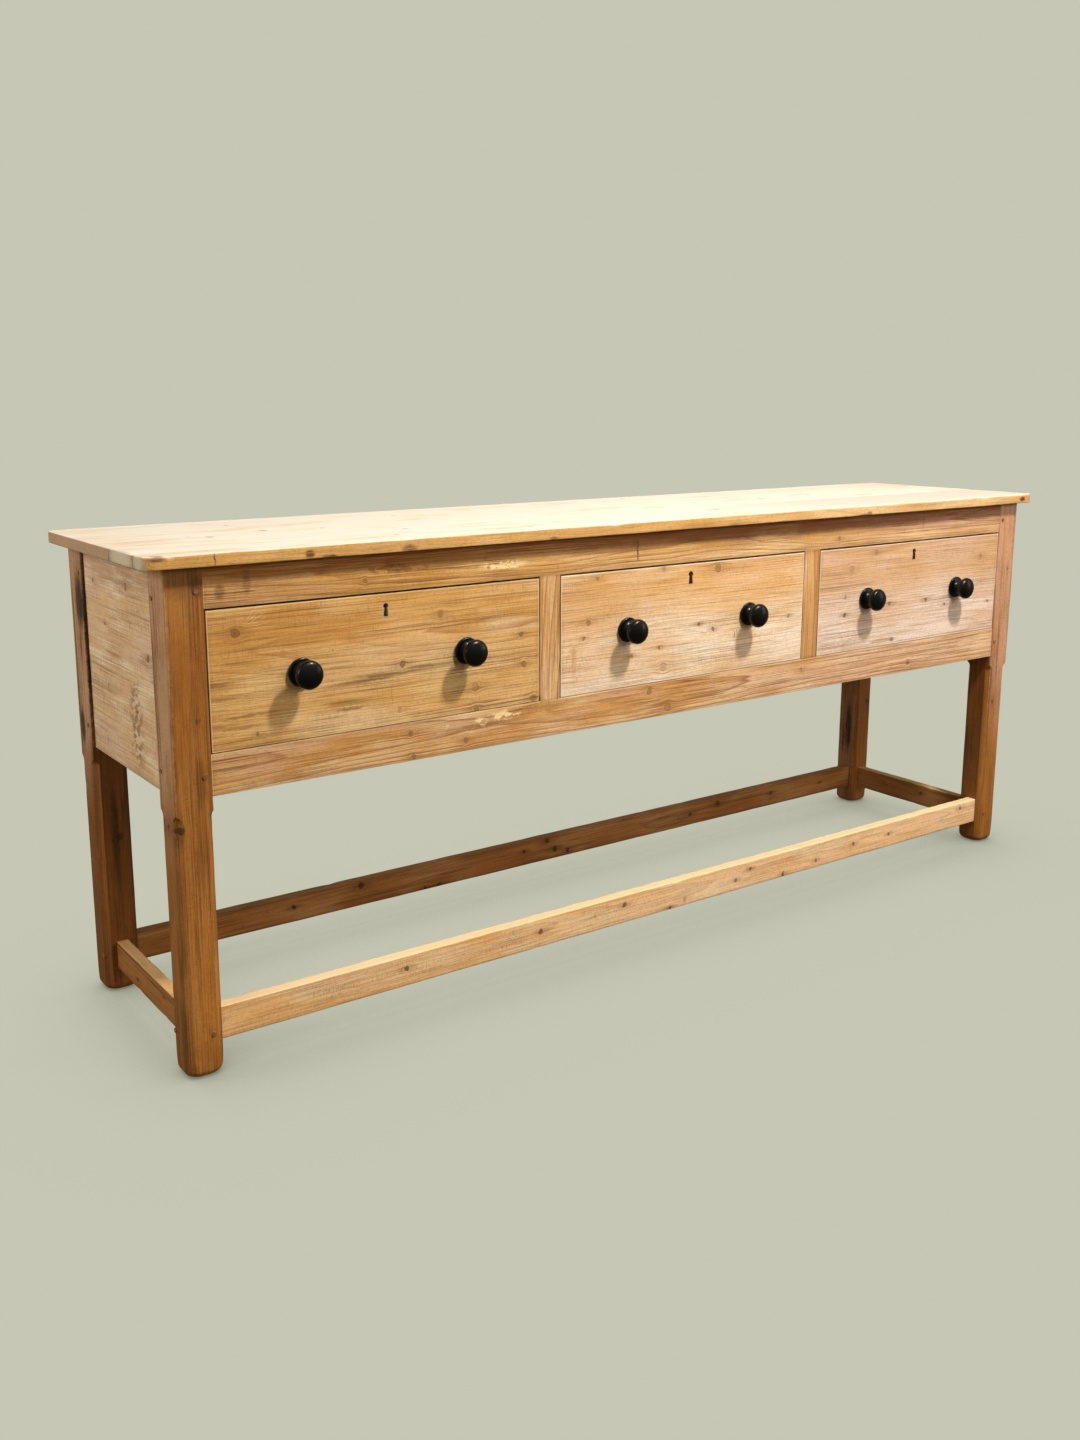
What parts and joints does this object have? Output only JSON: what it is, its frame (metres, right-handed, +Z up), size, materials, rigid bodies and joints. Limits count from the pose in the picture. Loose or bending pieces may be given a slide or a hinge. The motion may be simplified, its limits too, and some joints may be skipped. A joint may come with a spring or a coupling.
{
  "type": "dresser base",
  "caption": "Long pine dresser base: dovetailed drawers with black knobs side by side in a pegged frame, on stop-chamfered legs joined by low stretchers under a scrubbed board top.",
  "frame": {"origin": "on the floor, in the middle of the box round the whole piece, knobs included", "axes": "+X to the right along the front, +Y to the back, +Z up; the drawers face -Y"},
  "size_m": [2.146, 0.513, 0.85],
  "materials": {
    "scrubbed_pine": "scrubbed, pale and dry",
    "waxed_pine": "old wax, worn",
    "drawer_pine": "old wax, worn paler low down",
    "raw_pine": "unfinished",
    "peg_oak": "old wax",
    "black_knob": "ebonised and polished",
    "lock_brass": "tarnished"
  },
  "bodies": {
    "carcase": {"back_left_leg": "waxed_pine", "back_panel": "waxed_pine", "back_right_leg": "waxed_pine", "back_stretcher": "waxed_pine", "bottom_rail": "waxed_pine", "drawer_stops": "raw_pine", "front_left_leg": "waxed_pine", "front_right_leg": "waxed_pine", "front_stretcher": "waxed_pine", "glue_blocks": "raw_pine", "joint_pegs": "peg_oak", "left_end_guide": "raw_pine", "left_end_kicker": "raw_pine", "left_end_runner": "raw_pine", "left_muntin": "waxed_pine", "left_muntin_guide": "raw_pine", "left_muntin_kicker": "raw_pine", "left_muntin_runner": "raw_pine", "left_side_panel": "waxed_pine", "left_stretcher": "waxed_pine", "right_end_guide": "raw_pine", "right_end_kicker": "raw_pine", "right_end_runner": "raw_pine", "right_muntin": "waxed_pine", "right_muntin_guide": "raw_pine", "right_muntin_kicker": "raw_pine", "right_muntin_runner": "raw_pine", "right_side_panel": "waxed_pine", "right_stretcher": "waxed_pine", "top_back_board": "scrubbed_pine", "top_front_board": "scrubbed_pine", "top_rail": "waxed_pine"},
    "left_drawer": {"left_drawer_back": "raw_pine", "left_drawer_bottom": "raw_pine", "left_drawer_escutcheon": "lock_brass", "left_drawer_front": "drawer_pine", "left_drawer_left_knob": "black_knob", "left_drawer_left_side": "raw_pine", "left_drawer_lock": "lock_brass", "left_drawer_right_knob": "black_knob", "left_drawer_right_side": "raw_pine"},
    "left_bolt": {"left_drawer_bolt": "lock_brass"},
    "middle_drawer": {"middle_drawer_back": "raw_pine", "middle_drawer_bottom": "raw_pine", "middle_drawer_front": "drawer_pine", "middle_drawer_left_knob": "black_knob", "middle_drawer_left_side": "raw_pine", "middle_drawer_lock": "lock_brass", "middle_drawer_right_knob": "black_knob", "middle_drawer_right_side": "raw_pine"},
    "middle_bolt": {"middle_drawer_bolt": "lock_brass"},
    "right_drawer": {"right_drawer_back": "raw_pine", "right_drawer_bottom": "raw_pine", "right_drawer_front": "drawer_pine", "right_drawer_left_knob": "black_knob", "right_drawer_left_side": "raw_pine", "right_drawer_lock": "lock_brass", "right_drawer_right_knob": "black_knob", "right_drawer_right_side": "raw_pine"},
    "right_bolt": {"right_drawer_bolt": "lock_brass"}
  },
  "joints": [
    {"name": "left_drawer_slide", "type": "slide", "parent": "carcase", "child": "left_drawer", "axis": [0, -1, 0], "range_m": [0, 0.3]},
    {"name": "left_bolt_throw", "type": "slide", "parent": "left_drawer", "child": "left_bolt", "axis": [0, 0, 1], "range_m": [0, 0.008]},
    {"name": "middle_drawer_slide", "type": "slide", "parent": "carcase", "child": "middle_drawer", "axis": [0, -1, 0], "range_m": [0, 0.3]},
    {"name": "middle_bolt_throw", "type": "slide", "parent": "middle_drawer", "child": "middle_bolt", "axis": [0, 0, 1], "range_m": [0, 0.008]},
    {"name": "right_drawer_slide", "type": "slide", "parent": "carcase", "child": "right_drawer", "axis": [0, -1, 0], "range_m": [0, 0.3]},
    {"name": "right_bolt_throw", "type": "slide", "parent": "right_drawer", "child": "right_bolt", "axis": [0, 0, 1], "range_m": [0, 0.008]}
  ]
}
